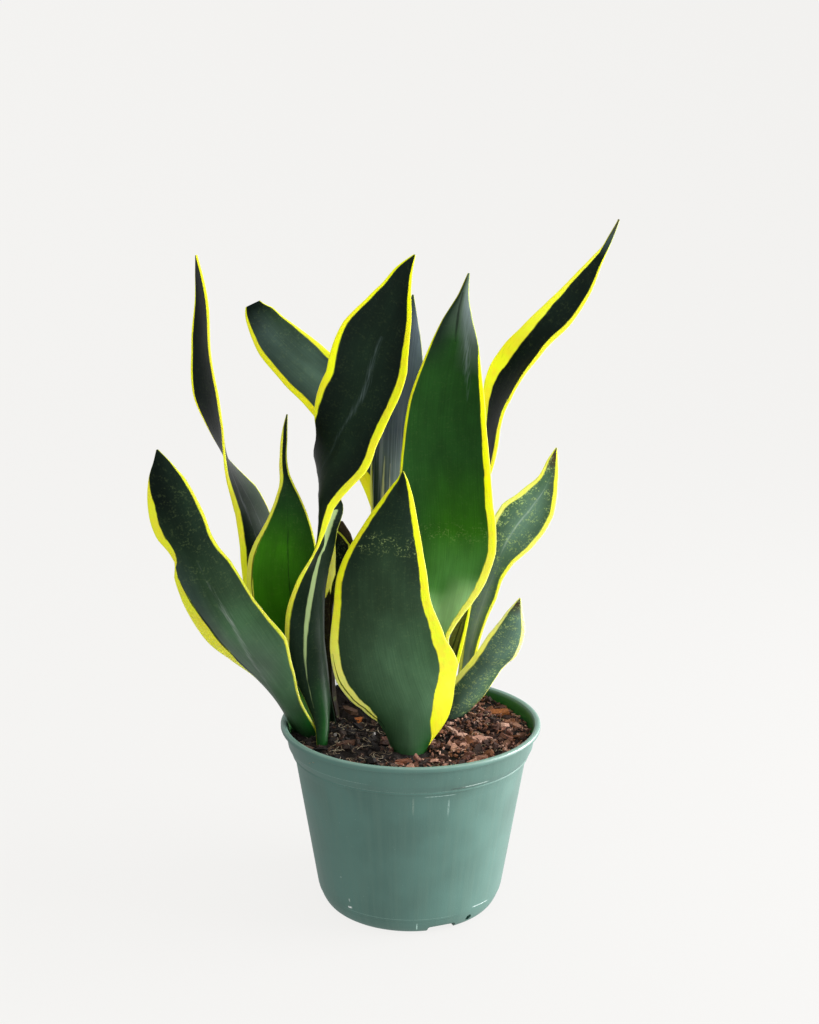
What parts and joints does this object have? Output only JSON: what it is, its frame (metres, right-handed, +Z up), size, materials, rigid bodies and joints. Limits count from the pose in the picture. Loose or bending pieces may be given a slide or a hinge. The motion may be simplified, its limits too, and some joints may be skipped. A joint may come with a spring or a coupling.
{
  "type": "potted snake plant",
  "caption": "Snake plant with upright, twisting sword leaves edged in yellow, standing in bark potting mix in a muted green plastic nursery pot.",
  "frame": {"origin": "centre of the pot's foot, on the surface that the pot stands on", "axes": "+Z up from the foot to the tip of the tallest leaf; -Y towards the front, where the broadest leaf stands; +X to the viewer's right"},
  "size_m": [0.2688, 0.155, 0.4053],
  "materials": {
    "pot_plastic": "satin",
    "bark_mix": "rough",
    "leaf": "satin"
  },
  "bodies": {
    "root": {"pot": "pot_plastic", "potting_mix": "bark_mix", "leaf_front": "leaf", "leaf_far_left": "leaf", "leaf_left_tall": "leaf", "leaf_left_small": "leaf", "leaf_centre_left": "leaf", "leaf_back_left": "leaf", "leaf_back_centre": "leaf", "leaf_centre_right": "leaf", "leaf_right_tall": "leaf", "leaf_right_leaning": "leaf", "leaf_right_low": "leaf", "leaf_stub": "leaf", "leaf_folded": "leaf"}
  },
  "joints": []
}
